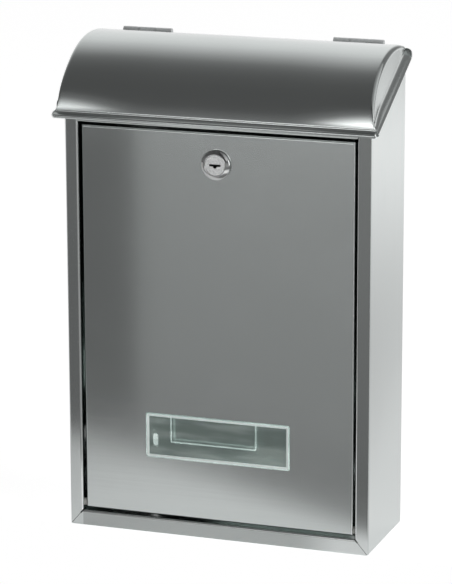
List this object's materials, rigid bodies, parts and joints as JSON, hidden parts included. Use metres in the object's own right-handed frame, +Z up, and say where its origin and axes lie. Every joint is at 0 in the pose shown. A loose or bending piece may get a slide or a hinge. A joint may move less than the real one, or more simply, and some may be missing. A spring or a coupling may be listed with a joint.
{
  "type": "wall mounted mailbox",
  "caption": "Slim folded-sheet mailbox for a wall: a domed lid lifts over the letter mouth, and a lockable drop-down door with a name window opens below it.",
  "frame": {"origin": "on the wall face, midway between the four fixing slots", "axes": "+Z up, +Y into the wall, so the door and the front of the lid face -Y"},
  "size_m": [0.227, 0.0856, 0.3376],
  "materials": {
    "brushed_sheet": "satin brushed stainless sheet",
    "hinge_steel": "dull rolled steel",
    "bright_zinc": "bright plated die casting",
    "plated_steel": "zinc plated steel",
    "clear_plastic": "clear moulded plastic",
    "washer_plastic": "natural nylon"
  },
  "bodies": {
    "box": {"body_wrap": "brushed_sheet", "back_panel": "brushed_sheet", "top_rail": "brushed_sheet", "hinge_leaf_wall_left": "hinge_steel", "hinge_leaf_wall_right": "hinge_steel", "hinge_pin_left": "hinge_steel", "hinge_pin_right": "hinge_steel", "door_pivot_left": "plated_steel", "door_pivot_right": "plated_steel", "pivot_washer_left": "washer_plastic", "pivot_washer_right": "washer_plastic"},
    "lid": {"lid": "brushed_sheet", "hinge_leaf_lid_left": "hinge_steel", "hinge_leaf_lid_right": "hinge_steel"},
    "door": {"door_panel": "brushed_sheet", "name_window": "clear_plastic", "lock_housing": "bright_zinc", "lock_nut": "plated_steel"},
    "lock": {"lock_plug": "bright_zinc", "lock_cam": "plated_steel", "cam_washer": "plated_steel", "cam_screw": "plated_steel"}
  },
  "joints": [
    {"name": "lid_hinge", "type": "hinge", "parent": "box", "child": "lid", "pos_m": [0, -0.0023, 0.17284], "axis": [-1, 0, 0], "range_deg": [0, 85]},
    {"name": "door_hinge", "type": "hinge", "parent": "box", "child": "door", "pos_m": [0, -0.073, -0.1463], "axis": [1, 0, 0], "range_deg": [0, 110]},
    {"name": "lock_turn", "type": "hinge", "parent": "door", "child": "lock", "pos_m": [0, -0.0629, 0.0982], "axis": [0, 1, 0], "range_deg": [0, 90]}
  ]
}
